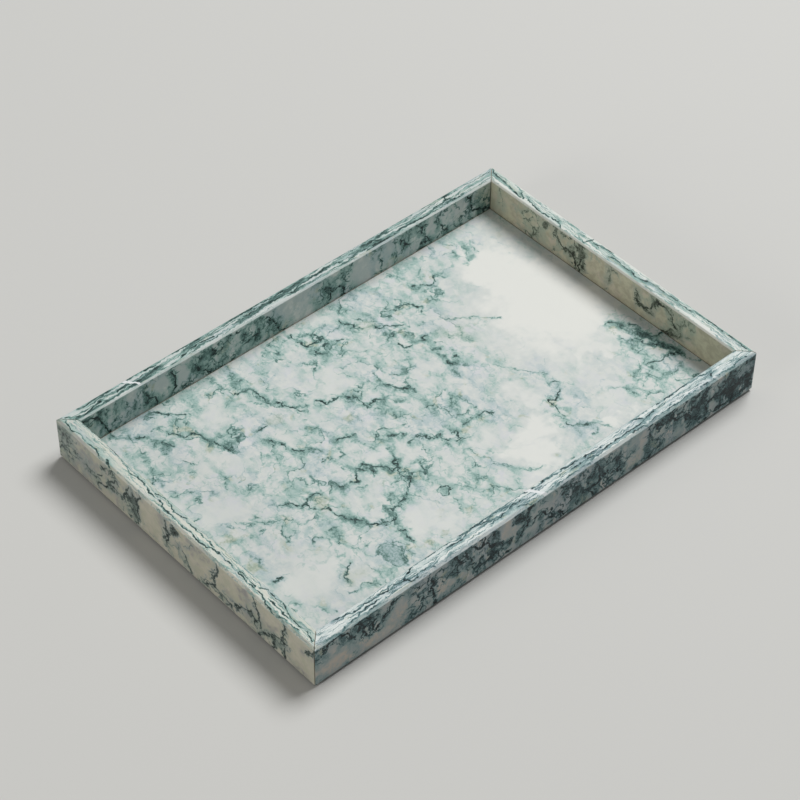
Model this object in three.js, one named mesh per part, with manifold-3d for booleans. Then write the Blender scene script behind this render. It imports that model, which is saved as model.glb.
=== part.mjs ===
// A rectangular serving tray of veined marble.
// Four honed strips, mitred at the corners, are bonded round a base panel that stands on four pads.
// Sizes are in millimetres: X runs along the tray, Y across it and Z up from the surface it stands on.

import * as THREE from 'three';
import { mergeVertices } from 'three/addons/utils/BufferGeometryUtils.js';
import Module from 'manifold-3d';

const wasm = await Module();
wasm.setup();

// Outside of the tray
const TRAY_LENGTH = 300;
const TRAY_WIDTH = 200;

// Rim strips
const STRIP_THICKNESS = 9;
const STRIP_HEIGHT = 26;

// Edges of the rim, each measured back from its sharp corner: flat bevels along the top, eased elsewhere
const OUTER_BEVEL = 1.4;
const INNER_BEVEL = 1;
const BEVEL_ARRIS = 0.3;
const BASE_ARRIS = 0.5;
const CORNER_ARRIS = 1.2;

// Base panel, level with the strips underneath
const PANEL_THICKNESS = 6;
const PANEL_ARRIS = 0.25;

// Bonded joints: the gap between two stones, and the cured resin in it
const JOINT_GAP = 0.4;
const RESIN_CLEARANCE = 0.05;
const RESIN_RECESS = 0.3;

// Pads under the panel, placed by their middles from the outer faces of the tray
const PAD_DIAMETER = 12;
const PAD_HEIGHT = 1.6;
const PAD_EDGE_RADIUS = 0.6;
const PAD_INSET = 22;

// Fineness of round stretches, and how far a cutting block runs past what it cuts
const ARRIS_SEGMENTS = 4;
const PAD_SIDES = 32;
const PAD_EDGE_SEGMENTS = 4;
const CUT_OVERRUN = 1;

// Finishes
const MARBLE = { color: 0xd3dad5, roughness: 0.42, metalness: 0 };
const RESIN = { color: 0x8d8372, roughness: 0.55, metalness: 0 };
const PAD = { color: 0x1b1c1d, roughness: 0.8, metalness: 0 };

// Sides of the tray, anticlockwise from the front, each with the corner at its far end
const SIDES = [
  { side: 'front', corner: 'front_right' },
  { side: 'right', corner: 'back_right' },
  { side: 'back', corner: 'back_left' },
  { side: 'left', corner: 'front_left' },
];
const QUARTER_TURN = Math.PI / 2;
const MITRE_TURN = Math.PI / 4;

const RESIN_WIDTH = JOINT_GAP - 2 * RESIN_CLEARANCE;

// Half the joint gap, measured along a strip from the mitre's own line
const MITRE_SETBACK = JOINT_GAP * Math.SQRT1_2;

// How far the tray's upright corners, at the middle of their easing, lie in from both faces
const CORNER_CUT = CORNER_ARRIS / 4;

function makeMesh(name, geometry, finish) {
  const mesh = new THREE.Mesh(geometry, new THREE.MeshStandardMaterial(finish));
  mesh.name = name;
  return mesh;
}

function toSolid(geometry) {
  const bare = geometry.clone();
  bare.deleteAttribute('normal');
  bare.deleteAttribute('uv');
  const merged = mergeVertices(bare);
  return new wasm.Manifold(new wasm.Mesh({
    numProp: 3,
    vertProperties: Float32Array.from(merged.attributes.position.array),
    triVerts: Uint32Array.from(merged.index.array),
  }));
}

function toGeometry(solid) {
  const { vertProperties, triVerts } = solid.getMesh();
  const shared = new THREE.BufferGeometry();
  shared.setAttribute('position', new THREE.BufferAttribute(vertProperties, 3));
  shared.setIndex(new THREE.BufferAttribute(triVerts, 1));
  const geometry = shared.toNonIndexed();
  geometry.computeVertexNormals();
  return geometry;
}

// A closed outline through corners, each cut back by its arris and rounded there.
function easedOutline(corners) {
  const points = corners.map(({ x, y }) => new THREE.Vector2(x, y));
  const outline = new THREE.Shape();
  points.forEach((point, index) => {
    const { arris } = corners[index];
    const before = points.at(index - 1).clone().sub(point).setLength(arris).add(point);
    const after = points[(index + 1) % points.length].clone().sub(point).setLength(arris).add(point);
    if (index === 0) {
      outline.moveTo(before.x, before.y);
    } else {
      outline.lineTo(before.x, before.y);
    }
    if (arris > 0) {
      outline.quadraticCurveTo(point.x, point.y, after.x, after.y);
    }
  });
  outline.closePath();
  return outline;
}

// A rectangle centred in X that starts at Y = 0, with all four corners eased alike.
function easedRectangle(length, width, arris) {
  const half = length / 2;
  return easedOutline([
    { x: -half, y: 0, arris },
    { x: half, y: 0, arris },
    { x: half, y: width, arris },
    { x: -half, y: width, arris },
  ]);
}

// A strip's section, X inward from the outer face and Y up, drawn in by an inset on every face.
// A cut on the outer face draws that face in further.
function stripSection(inset, cut) {
  const outer = inset + cut;
  const inner = STRIP_THICKNESS - inset;
  const top = STRIP_HEIGHT - inset;
  return easedOutline([
    { x: outer, y: inset, arris: BASE_ARRIS },
    { x: inner, y: inset, arris: 0 },
    { x: inner, y: top - INNER_BEVEL, arris: BEVEL_ARRIS },
    { x: inner - INNER_BEVEL, y: top, arris: BEVEL_ARRIS },
    { x: outer + OUTER_BEVEL, y: top, arris: BEVEL_ARRIS },
    { x: outer, y: top - OUTER_BEVEL, arris: BEVEL_ARRIS },
  ]);
}

// A section run along X, centred, with its outer face towards -Y and its top up.
function extrudeSection(section, length) {
  const inward = new THREE.Vector3(0, 1, 0);
  const up = new THREE.Vector3(0, 0, 1);
  const along = new THREE.Vector3(1, 0, 0);
  const bar = new THREE.ExtrudeGeometry(section, {
    depth: length,
    bevelEnabled: false,
    curveSegments: ARRIS_SEGMENTS,
  });
  bar.translate(0, 0, -length / 2);
  return bar.applyMatrix4(new THREE.Matrix4().makeBasis(inward, up, along));
}

// A plan outline raised past the strip's underside and top, to cut it.
function extrudePlan(plan) {
  const block = new THREE.ExtrudeGeometry(plan, {
    depth: STRIP_HEIGHT + 2 * CUT_OVERRUN,
    bevelEnabled: false,
    curveSegments: ARRIS_SEGMENTS,
  });
  return block.translate(0, 0, -CUT_OVERRUN);
}

// The plan between a strip's two mitre faces, run past its outer and inner faces.
function mitrePlan(length) {
  const outerEnd = length / 2 - MITRE_SETBACK + CUT_OVERRUN;
  const innerEnd = length / 2 - MITRE_SETBACK - STRIP_THICKNESS - CUT_OVERRUN;
  const outer = -CUT_OVERRUN;
  const inner = STRIP_THICKNESS + CUT_OVERRUN;
  return easedOutline([
    { x: -outerEnd, y: outer, arris: 0 },
    { x: outerEnd, y: outer, arris: 0 },
    { x: innerEnd, y: inner, arris: 0 },
    { x: -innerEnd, y: inner, arris: 0 },
  ]);
}

// One strip with its outer face on Y = 0: the section, mitred, with the tray's upright corners eased.
function makeStrip(length, width) {
  const bar = toSolid(extrudeSection(stripSection(0, 0), length));
  const mitres = toSolid(extrudePlan(mitrePlan(length)));
  const corners = toSolid(extrudePlan(easedRectangle(length, width, CORNER_ARRIS)));
  return toGeometry(bar.intersect(mitres).intersect(corners));
}

// The resin in one mitre: the strip's section, recessed, and stretched along the slanting joint.
function makeMitreSeam() {
  return extrudeSection(stripSection(RESIN_RECESS, CORNER_CUT), RESIN_WIDTH).scale(1, Math.SQRT2, 1);
}

// The resin along one edge of the panel. It passes one neighbour's end and stops short of the other's.
function makeFloorSeam(length) {
  const wellHalf = length / 2 - STRIP_THICKNESS;
  const start = -wellHalf + JOINT_GAP + RESIN_CLEARANCE;
  const end = wellHalf - RESIN_CLEARANCE;
  const height = PANEL_THICKNESS - 2 * RESIN_RECESS;
  const seam = new THREE.BoxGeometry(end - start, RESIN_WIDTH, height);
  return seam.translate((start + end) / 2, STRIP_THICKNESS + JOINT_GAP / 2, PANEL_THICKNESS / 2);
}

function makePanel() {
  const border = 2 * (STRIP_THICKNESS + JOINT_GAP);
  const length = TRAY_LENGTH - border;
  const width = TRAY_WIDTH - border;
  const panel = new THREE.ExtrudeGeometry(easedRectangle(length, width, 0), {
    depth: PANEL_THICKNESS - 2 * PANEL_ARRIS,
    bevelThickness: PANEL_ARRIS,
    bevelSize: PANEL_ARRIS,
    bevelOffset: -PANEL_ARRIS,
    bevelSegments: 1,
  });
  return panel.translate(0, -width / 2, PANEL_ARRIS);
}

// A round pad with its lower edge eased, standing on Z = 0.
function makePad() {
  const radius = PAD_DIAMETER / 2;
  const edge = new THREE.EllipseCurve(
    radius - PAD_EDGE_RADIUS, PAD_EDGE_RADIUS, PAD_EDGE_RADIUS, PAD_EDGE_RADIUS, -QUARTER_TURN, 0,
  );
  const profile = [
    new THREE.Vector2(0, 0),
    ...edge.getPoints(PAD_EDGE_SEGMENTS),
    new THREE.Vector2(radius, PAD_HEIGHT),
    new THREE.Vector2(0, PAD_HEIGHT),
  ];
  return new THREE.LatheGeometry(profile, PAD_SIDES).rotateX(QUARTER_TURN);
}

// One side of the tray, laid out as the front: its strip, its edge of the panel and its far corner.
function makeSide({ side, corner }, length, width) {
  const outerFace = -width / 2;

  const strip = makeMesh(`rim_${side}`, makeStrip(length, width), MARBLE);
  strip.position.set(0, outerFace, PAD_HEIGHT);

  const floorSeam = makeMesh(`floor_seam_${side}`, makeFloorSeam(length), RESIN);
  floorSeam.position.set(0, outerFace, PAD_HEIGHT);

  const mitreSeam = makeMesh(`mitre_seam_${corner}`, makeMitreSeam(), RESIN);
  mitreSeam.position.set(length / 2, outerFace, PAD_HEIGHT);
  mitreSeam.rotation.z = MITRE_TURN;

  const pad = makeMesh(`foot_pad_${corner}`, makePad(), PAD);
  pad.position.set(length / 2 - PAD_INSET, outerFace + PAD_INSET, 0);

  return new THREE.Group().add(strip, floorSeam, mitreSeam, pad);
}

const tray = new THREE.Group();

const panel = makeMesh('base_panel', makePanel(), MARBLE);
panel.position.z = PAD_HEIGHT;
tray.add(panel);

SIDES.forEach((names, index) => {
  const runsAlong = index % 2 === 0;
  const length = runsAlong ? TRAY_LENGTH : TRAY_WIDTH;
  const width = runsAlong ? TRAY_WIDTH : TRAY_LENGTH;
  const side = makeSide(names, length, width);
  side.rotation.z = index * QUARTER_TURN;
  tray.add(side);
});

export default tray;
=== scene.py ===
"""A veined marble tray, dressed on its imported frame. Metres, in the frame's own axes."""
import math

import bpy
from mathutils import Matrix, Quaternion, Vector


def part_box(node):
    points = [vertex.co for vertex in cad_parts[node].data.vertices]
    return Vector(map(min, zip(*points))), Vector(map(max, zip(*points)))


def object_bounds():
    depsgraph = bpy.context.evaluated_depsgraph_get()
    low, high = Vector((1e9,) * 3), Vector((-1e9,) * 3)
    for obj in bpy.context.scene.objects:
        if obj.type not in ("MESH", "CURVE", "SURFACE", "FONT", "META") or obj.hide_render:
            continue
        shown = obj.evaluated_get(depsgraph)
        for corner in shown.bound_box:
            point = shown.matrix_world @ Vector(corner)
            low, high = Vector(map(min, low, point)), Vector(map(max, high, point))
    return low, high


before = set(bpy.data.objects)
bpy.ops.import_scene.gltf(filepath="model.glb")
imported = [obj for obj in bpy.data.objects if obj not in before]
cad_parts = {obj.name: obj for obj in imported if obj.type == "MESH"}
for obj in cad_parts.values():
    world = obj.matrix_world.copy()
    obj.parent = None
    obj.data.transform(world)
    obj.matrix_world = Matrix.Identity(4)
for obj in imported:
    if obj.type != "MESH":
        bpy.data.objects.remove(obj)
cad_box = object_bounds()
scene = bpy.context.scene

MM = 0.001
RIM_TOP = cad_box[1].z
PANEL_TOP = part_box("base_panel")[1].z

# Camera, fitted to the tray's edges: places are from the middle of the rim's top
CAMERA_PLACE = Vector((-0.62148, -0.68063, 0.90404))
CAMERA_AIM = Vector((-0.0117, -0.0044, 0.0))
CAMERA_ROLL = math.radians(0.418)
CAMERA_LENS = 114.34
CAMERA_SENSOR = 36.0


def srgb(red, green, blue):
    """A colour as it looks on screen, 0 to 255, as the linear colour that a shader takes."""
    def linear(value):
        part = value / 255
        return part / 12.92 if part <= 0.04045 else ((part + 0.055) / 1.055) ** 2.4
    return (linear(red), linear(green), linear(blue), 1.0)


# Floor and light
FLOOR_HALF = 3.0
FLOOR_SEEN = srgb(205, 205, 202)
FLOOR_BOUNCE = srgb(160, 160, 157)
FLOOR_ROUGHNESS = 0.9
WORLD_COLOUR = (1.0, 1.0, 1.0, 1.0)
WORLD_STRENGTH = 0.2

# The value that noise swings about
NOISE_MIDDLE = 0.5


class Graph:
    """Short calls that add nodes to one node tree and join them."""

    def __init__(self, tree):
        self.tree = tree

    def feed(self, node, inputs):
        """Gives a node's inputs their values, or joins them to other nodes."""
        for key, value in inputs.items():
            if isinstance(value, bpy.types.NodeSocket):
                self.tree.links.new(value, node.inputs[key])
            else:
                node.inputs[key].default_value = value

    def add(self, kind, inputs=None, **settings):
        node = self.tree.nodes.new(kind)
        for name, value in settings.items():
            setattr(node, name, value)
        self.feed(node, inputs or {})
        return node

    def math(self, operation, first, second=0.0):
        return self.add("ShaderNodeMath", {0: first, 1: second}, operation=operation).outputs["Value"]

    def times(self, first, second):
        return self.math("MULTIPLY", first, second)

    def larger(self, first, second):
        return self.math("MAXIMUM", first, second)

    def rest(self, share):
        """What a share leaves of 1."""
        return self.math("SUBTRACT", 1.0, share)

    def apart(self, first, second):
        return self.math("ABSOLUTE", self.math("SUBTRACT", first, second))

    def screen(self, first, second):
        """Two shares laid over each other, which together stay below 1."""
        return self.math("SUBTRACT", self.math("ADD", first, second), self.times(first, second))

    def clamp(self, value):
        return self.add("ShaderNodeClamp", {"Value": value}).outputs["Result"]

    def vector(self, operation, first, second, output="Vector"):
        node = self.add("ShaderNodeVectorMath", {0: first, 1: second}, operation=operation)
        return node.outputs[output]

    def measure(self, operation, first, second=(0.0, 0.0, 0.0)):
        """A vector operation whose result is a number."""
        return self.vector(operation, first, second, output="Value")

    def dot(self, first, second):
        return self.measure("DOT_PRODUCT", first, second)

    def shift(self, place, push):
        return self.vector("ADD", place, push)

    def stretch(self, place, factors):
        return self.vector("MULTIPLY", place, factors)

    def scale(self, vector, factor):
        node = self.add("ShaderNodeVectorMath", {0: vector, "Scale": factor}, operation="SCALE")
        return node.outputs["Vector"]

    def combine(self, x, y, z):
        return self.add("ShaderNodeCombineXYZ", {"X": x, "Y": y, "Z": z}).outputs["Vector"]

    def span(self, value, none, full, least=0.0, most=1.0):
        """Eased from least, where a value is at none, to most, where it is at full, and held beyond."""
        limits = {"Value": value, "From Min": none, "From Max": full, "To Min": least, "To Max": most}
        node = self.add("ShaderNodeMapRange", limits, interpolation_type="SMOOTHSTEP", clamp=False)
        return node.outputs["Result"]

    def noise(self, vector, size, detail, roughness=0.55):
        """Cloudy noise whose lumps are about size across."""
        settings = {"Vector": vector, "Scale": 1 / size, "Detail": detail, "Roughness": roughness}
        return self.add("ShaderNodeTexNoise", settings)

    def lumps(self, vector, size, detail=3.0, roughness=0.55):
        return self.noise(vector, size, detail, roughness).outputs["Fac"]

    def push(self, vector, size, reach, detail=2.0):
        """A push that wanders with noise, of up to about half the reach each way."""
        colour = self.noise(vector, size, detail).outputs["Color"]
        swing = self.vector("SUBTRACT", colour, (NOISE_MIDDLE,) * 3)
        return self.scale(swing, reach)

    def mix(self, factor, first, second):
        """A mix of two colours, which are inputs 6 and 7 of the node, with the result in output 2."""
        node = self.add("ShaderNodeMix", {0: factor, 6: first, 7: second}, data_type="RGBA")
        return node.outputs[2]

    def bump(self, height, strength, distance):
        inputs = {"Height": height, "Strength": strength, "Distance": distance}
        return self.add("ShaderNodeBump", inputs).outputs["Normal"]


def new_material(name):
    """A material with its graph, and the shader that the graph feeds."""
    material = bpy.data.materials.new(name)
    material.use_nodes = True
    return material, Graph(material.node_tree), material.node_tree.nodes["Principled BSDF"]


# Stone

# Colours of the marble as they look in full light, save honey, lichen and ash, which also carry painted
# shade
WHITE = srgb(223, 224, 219)
MILK = srgb(198, 205, 203)
CREAM = srgb(229, 227, 217)
# Painted shade: honey here and lichen below are darker than the right strip's own stone, for its shaded
# inner face
HONEY_PAINTED_SHADE = srgb(203, 195, 175)
SAND = srgb(209, 206, 191)
# Grey ash: a random tint of the left strip, and painted shade where it darkens the far end of that face
ASH_AND_PAINTED_SHADE = srgb(164, 164, 164)
LICHEN_PAINTED_SHADE = srgb(197, 195, 171)
ROSE = srgb(199, 189, 174)
BUFF = srgb(222, 213, 199)
CHALK = srgb(226, 231, 228)
PEARL = srgb(211, 214, 210)
FROST = srgb(205, 208, 211)
MIST = srgb(192, 201, 199)
STRAW = srgb(198, 199, 181)
EARTH = srgb(176, 172, 150)
OLIVE = srgb(174, 185, 167)
QUARTZ = srgb(226, 229, 230)

# The greens of a stone, from two pale ones through middle and deep to nearly black
SEA_GREENS = (
    srgb(158, 186, 180), srgb(170, 189, 191), srgb(105, 139, 133), srgb(62, 88, 85), srgb(27, 42, 41),
)
SLATE_GREENS = (
    srgb(160, 184, 184), srgb(172, 188, 193), srgb(96, 130, 132), srgb(44, 72, 76), srgb(13, 28, 31),
)
MOSS_GREENS = (
    srgb(164, 174, 159), srgb(172, 176, 162), srgb(117, 128, 114), srgb(74, 81, 70), srgb(34, 39, 34),
)
SMOKE_GREENS = (
    srgb(160, 174, 166), srgb(170, 180, 178), srgb(107, 123, 119), srgb(66, 78, 76), srgb(29, 37, 36),
)

# Amounts of green over which each green comes in, palest first
GREEN_STEPS = ((0.0, 0.4), (0.28, 0.62), (0.5, 0.85), (0.75, 1.05))

# Colours of the resin in the joints, and of the pads
RESIN_LIGHT = srgb(150, 139, 120)
RESIN_DARK = srgb(116, 106, 88)
RUBBER_GREY = srgb(46, 47, 48)
RUBBER_BLACK = srgb(24, 25, 26)

# The beds of the stone lie nearly in the slab's face: across them its pattern is BEDDING times finer,
# and its veins lean over by VEIN_LEAN for each step in
BEDDING = 6.0
VEIN_LEAN = 5.0

# Keeps a place in the plane of the face
IN_PLANE = (1.0, 1.0, 0.0)

# Haze gathers on the right of a vein, and ends this much more steeply on its left
LEFT_STEEPNESS = 4.0

# How far the strokes of the haze lean over, and how they and the threads are drawn out
STROKE_TURN = math.radians(5.0)
STROKE_STRETCH = (1.0, 0.42, 1.0)
THREAD_STRETCH = (0.06, 1.0, 1.0)

# Shifts that set the noise of the patterns apart
NET_SHIFT = (7.0, 40.0, 3.0)
STRAND_SHIFT = (60.0, 20.0, 9.0)
BLUSH_SHIFT = (90.0, 15.0, 30.0)
MOTTLE_SHIFT = (30.0, 70.0, 11.0)

# A spot is full out to its heart and gone at its margin, and a lens has a border, in half sizes of each
SPOT_HEART = 0.3
SPOT_MARGIN = 1.3
LENS_BORDER = 0.9

# Half the width of the lines in a net, times the lumps that draw it, as a step of the noise
LINE_SPREAD = 0.42

# Soft veins against strong ones, and the full core of a vein and of a quartz band against the whole
SOFT_WIDTH = 0.75
SOFT_DARKNESS = 0.6
VEIN_CORE = 0.25
BAND_CORE = 0.68

# How much of the face's pattern a cut edge hides, and how green an olive spot is at least
EDGE_COVER = 0.75
OLIVE_AMOUNT = 0.16

# How much a honed skin mirrors, where 0.5 is a polished one
HONED_SPECULAR = 0.22

# Further than any place on the tray is from a route
FAR = 1000.0

# Veins of the panel, as routes in millimetres from its middle, X along the tray and Y across it
PANEL_STRONG = [
    [(-99, 88), (-97, 84), (-94, 81), (-91, 78), (-88, 75)],
    [(-116, 78), (-113, 76), (-111, 72), (-108, 66), (-107, 62)],
    [(-86, 37), (-86, 41), (-89, 47), (-90, 52), (-92, 58), (-93, 62), (-97, 64), (-100, 67), (-103, 70)],
    [(-61, 71), (-55, 69), (-51, 67), (-50, 63), (-50, 53), (-47, 50), (-44, 43), (-41, 38)],
    [(-69, 43), (-67, 43), (-63, 42)],
    [(-68, 33), (-65, 30), (-64, 27), (-63, 22), (-62, 20), (-60, 16), (-57, 15), (-53, 12)],
    [(-57, 4), (-53, 3)], [(-9, 85), (-9, 75), (-5, 73), (-2, 73)],
    [(-4, 81), (-1, 79), (1, 76), (1, 73), (-1, 72)],
    [(-7, 69), (-8, 67), (-5, 64), (-3, 64), (-1, 68), (3, 68), (6, 66), (9, 64)],
    [(18, 77), (18, 73), (20, 69), (21, 65), (24, 63), (27, 62), (30, 58), (34, 57), (40, 53)],
    [(-30, 38), (-28, 34), (-24, 33), (-20, 33), (-17, 29), (-14, 27), (-14, 22), (-15, 18)],
    [(-15, 18), (-11, 20), (-7, 19), (-4, 17), (-2, 18)], [(2, 24), (8, 18), (13, 12)],
    [(29, 43), (30, 38), (33, 37), (36, 38)], [(40, 36), (41, 35), (43, 37), (45, 37)],
    [(41, 19), (40, 14), (43, 12), (45, 16)], [(47, 64), (51, 63), (55, 61), (57, 55), (55, 52)],
    [(64, 70), (69, 71), (70, 68), (72, 66), (75, 66), (79, 70)], [(-42, 9), (-39, 8), (-34, 9)],
    [(-93, -5), (-88, -8), (-85, -12), (-82, -13), (-81, -17), (-76, -22), (-75, -29), (-73, -35)],
    [(-73, -35), (-70, -37), (-68, -41), (-66, -45), (-64, -48), (-60, -48), (-56, -50), (-53, -46)],
    [(-53, -46), (-51, -44), (-43, -43)],
    [(-43, -43), (-39, -41), (-34, -39), (-32, -35), (-33, -29), (-31, -24), (-29, -20), (-26, -12)],
    [(-82, -12), (-78, -11), (-73, -12), (-72, -14)],
    [(-62, -12), (-61, -16), (-58, -18), (-55, -16), (-53, -18), (-51, -16), (-47, -11), (-44, -15)],
    [(-42, -12), (-40, -17), (-36, -21), (-34, -24), (-31, -24)], [(-19, -5), (-15, -7), (-13, -9)],
    [(-14, -16), (-9, -15), (-7, -17), (-5, -20), (-2, -22), (1, -21)],
    [(1, -26), (3, -32), (6, -31), (8, -26), (6, -23)],
    [(15, -24), (20, -23), (24, -25), (28, -24), (31, -27), (32, -28)],
    [(-59, -57), (-57, -58), (-58, -62), (-58, -67)], [(-91, -57), (-94, -59), (-98, -62), (-99, -65)],
    [(-126, -42), (-122, -42)],
    [(70, -32), (72, -34), (68, -40), (63, -42), (59, -40), (59, -45), (57, -50), (57, -54), (54, -58)],
    [(54, -58), (57, -63), (62, -65), (65, -67)],
    [(121, -20), (126, -21), (129, -23), (132, -27), (135, -30)],
    [(120, -33), (124, -36), (126, -40), (129, -46), (134, -50)],
    [(126, -40), (131, -39), (134, -43), (139, -44)], [(118, -55), (124, -58), (130, -57), (136, -61)],
]
PANEL_SOFT = [
    [(-128, 88), (-125, 86), (-123, 83), (-120, 82)], [(-108, 78), (-104, 78), (-103, 70)],
    [(-64, 89), (-62, 82), (-60, 75), (-61, 71)], [(-50, 88), (-53, 80), (-58, 73)],
    [(-88, 52), (-84, 54)], [(-87, 46), (-81, 43), (-75, 46)],
    [(-129, 40), (-121, 31), (-117, 29), (-112, 24), (-111, 21)], [(-100, 31), (-102, 26), (-106, 21)],
    [(-129, 49), (-124, 43)], [(-129, 56), (-125, 54)], [(-30, 84), (-25, 81)],
    [(-19, 64), (-16, 62), (-14, 60)], [(1, 59), (4, 56), (6, 56), (10, 52), (13, 50)],
    [(-4, 25), (1, 25), (6, 34), (10, 40)], [(10, 28), (15, 25), (18, 25), (22, 23), (24, 27), (24, 29)],
    [(31, 87), (33, 85), (36, 84)], [(26, 87), (24, 83), (21, 81)], [(7, 73), (11, 73), (18, 73)],
    [(31, 71), (32, 65)], [(40, 63), (45, 70), (47, 72)], [(-47, 28), (-43, 20), (-42, 18)],
    [(-9, 9), (-8, 4), (-5, 3), (-6, 1)], [(-1, 12), (3, 10), (7, 8), (10, 3)], [(40, 13), (37, 3)],
    [(62, 58), (66, 57), (71, 57), (74, 60)], [(80, 70), (84, 65)], [(94, 78), (97, 78), (100, 77)],
    [(100, 88), (102, 83), (104, 81)], [(108, 74), (112, 73), (111, 69)], [(60, 88), (63, 82), (68, 87)],
    [(54, 29), (59, 26), (60, 19)], [(60, 41), (64, 38), (68, 34), (72, 32), (76, 29), (83, 21)],
    [(-116, 0), (-113, -2), (-110, -6), (-107, -6), (-106, -9),
     (-101, -12), (-96, -14), (-94, -18), (-93, -22)],
    [(-93, -22), (-87, -24), (-83, -23), (-80, -20)],
    [(-82, -36), (-86, -44), (-84, -52), (-82, -53), (-77, -54)], [(-118, -72), (-116, -76)],
    [(-69, -60), (-66, -62), (-63, -66), (-65, -70), (-63, -73)], [(-103, -71), (-99, -73), (-91, -75)],
    [(-86, -63), (-85, -72), (-86, -79)], [(-34, -2), (-32, -7), (-31, -10)],
    [(-29, -7), (-24, -4), (-22, -7), (-19, -5)], [(11, -7), (15, -8), (15, -16), (19, -17)],
    [(24, -4), (26, -7), (27, -18)], [(-16, -54), (-14, -57), (-12, -62), (-6, -67), (-4, -67)],
    [(-8, -57), (-3, -57)], [(3, -38), (6, -47), (11, -62), (16, -68), (24, -72)],
    [(56, -2), (58, -7), (60, -9), (64, -15), (66, -18), (73, -26)], [(65, -67), (68, -72), (69, -76)],
    [(121, -47), (124, -44), (128, -45)], [(103, -55), (105, -57), (110, -55)],
    [(89, -55), (93, -57), (97, -63), (101, -67), (104, -72), (108, -74)],
    [(110, -55), (115, -53), (119, -52), (124, -53)], [(104, -65), (109, -62), (114, -60)],
    [(113, -67), (118, -67), (124, -69), (128, -68)],
]

# Blue-green patches of the panel: middle, half length, half width, strength
PANEL_CLOUDS = [
    (-117, 66, 18, 8, 0.8), (-104, 75, 12, 9, 0.95), (-94, 67, 8, 8, 0.6), (-128, 60, 6, 12, 0.5),
    (-68, 84, 12, 7, 0.45), (-54, 58, 7, 8, 0.4), (-56, 40, 9, 9, 0.45), (-77, 28, 8, 7, 0.95),
    (-86, 44, 6, 4, 0.25), (-17, 87, 10, 6, 0.9), (-30, 78, 9, 5, 0.25), (-5, 74, 8, 12, 0.8),
    (-15, 66, 8, 8, 0.4), (-36, 45, 9, 9, 0.4), (-20, 29, 8, 5, 0.5), (-2, 21, 6, 5, 0.5),
    (12, 20, 7, 9, 0.6), (9, 31, 6, 8, 0.75), (13, 70, 9, 6, 0.5), (24, 84, 12, 7, 0.95),
    (35, 52, 12, 10, 0.95), (32, 38, 9, 6, 0.6), (44, 14, 6, 8, 0.6), (40, 84, 9, 6, 0.5),
    (56, 78, 9, 12, 0.5), (52, 58, 7, 9, 0.6), (66, 60, 10, 8, 0.55), (90, 84, 9, 8, 1.1),
    (103, 76, 12, 9, 0.85), (102, 67, 6, 4, 0.8), (50, 42, 8, 8, 0.5), (55, 24, 8, 8, 0.5),
    (-22, -4, 10, 7, 0.8), (-41, -32, 9, 10, 0.7), (-78, -13, 9, 6, 1.0), (-55, -14, 8, 6, 0.5),
    (20, -11, 10, 12, 0.7), (4, -21, 9, 6, 0.6), (-9, -16, 5, 4, 0.6), (-22, -38, 8, 12, 0.45),
    (44, -7, 12, 11, 0.5), (66, -17, 6, 4, 0.6), (-87, -50, 7, 13, 0.8), (-56, -46, 6, 6, 0.9),
    (-62, -60, 7, 7, 0.5), (-8, -63, 9, 12, 0.55), (58, -51, 6, 14, 0.75), (130, -45, 13, 26, 1.45),
    (111, -59, 15, 7, 0.95), (98, -63, 7, 7, 0.75), (109, -69, 10, 6, 0.75), (125, -67, 11, 8, 0.95),
    (-120, -73, 7, 5, 0.6), (-111, -5, 6, 5, 0.5), (-123, -28, 8, 7, 0.3),
]

# Clean stretches of the panel, in the same form
PANEL_CLEAN = [
    (108, 12, 50, 72, 1.0), (110, 48, 34, 34, 1.0), (28, -64, 24, 20, 0.9), (43, -50, 24, 19, 0.9),
    (58, -30, 19, 13, 0.8), (-112, -52, 26, 26, 0.78), (-75, 66, 12, 12, 0.7), (-17, 46, 17, 15, 0.7),
    (-100, 45, 8, 12, 0.5), (-57, -32, 11, 12, 0.62), (8, 82, 7, 8, 0.7), (15, 55, 9, 8, 0.6),
    (-32, 62, 14, 10, 0.6), (-56, 28, 8, 8, 0.6), (24, 17, 8, 8, 0.6), (84, -55, 16, 20, 0.75),
    (78, -71, 16, 10, 0.9), (12, -41, 14, 9, 0.75), (104, -35, 24, 11, 0.85), (74, -27, 14, 9, 0.7),
    (-36, -12, 6, 7, 0.7), (-44, -64, 13, 12, 0.75), (-22, -15, 6, 8, 0.6), (-114, 10, 16, 16, 0.7),
    (-132, 27, 10, 12, 0.7), (-92, 28, 9, 9, 0.6), (-40, 27, 9, 8, 0.6),
]

# Small teal lenses of the panel, with strengths inside and round the edge, and its olive stretches
PANEL_LENSES = [
    (-24, -54, 3, 4.4, 0.4, 0.8), (-72, -67, 7, 9, 0.62, 0.66), (-58, -47, 3, 3, 0.5, 0.7),
    (-53, -42, 2.5, 2.5, 0.5, 0.6), (-103, 88, 2, 1.5, 0.5, 0.6),
]
PANEL_OLIVE = [
    (-75, -18, 4, 5, 1.0), (-94, -65, 9, 7, 0.9), (-54, 43, 6, 5, 0.6), (26, 66, 7, 5, 0.6),
    (60, 30, 10, 14, 0.4),
]

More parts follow.
